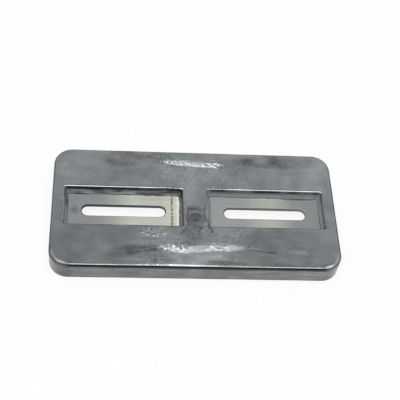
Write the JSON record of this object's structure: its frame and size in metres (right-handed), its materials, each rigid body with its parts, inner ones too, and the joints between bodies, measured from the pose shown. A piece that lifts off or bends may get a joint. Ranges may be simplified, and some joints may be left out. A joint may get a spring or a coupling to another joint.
{
  "type": "sacrificial anode",
  "caption": "Flat zinc hull anode with rounded corners, cast round a slotted steel strap that shows in two recessed windows, bolted on through the slots.",
  "frame": {"origin": "centre of the flat back face that goes against the hull", "axes": "+X along the plate's length, +Y across its width, +Z outwards from the hull, through the thickness"},
  "size_m": [0.2032, 0.0996, 0.0159],
  "materials": {
    "cast_zinc": "satin blue-grey zinc, as cast",
    "galvanised_steel": "galvanised rolled steel bar"
  },
  "bodies": {
    "root": {"zinc_casting": "cast_zinc", "slotted_strap": "galvanised_steel"}
  },
  "joints": []
}
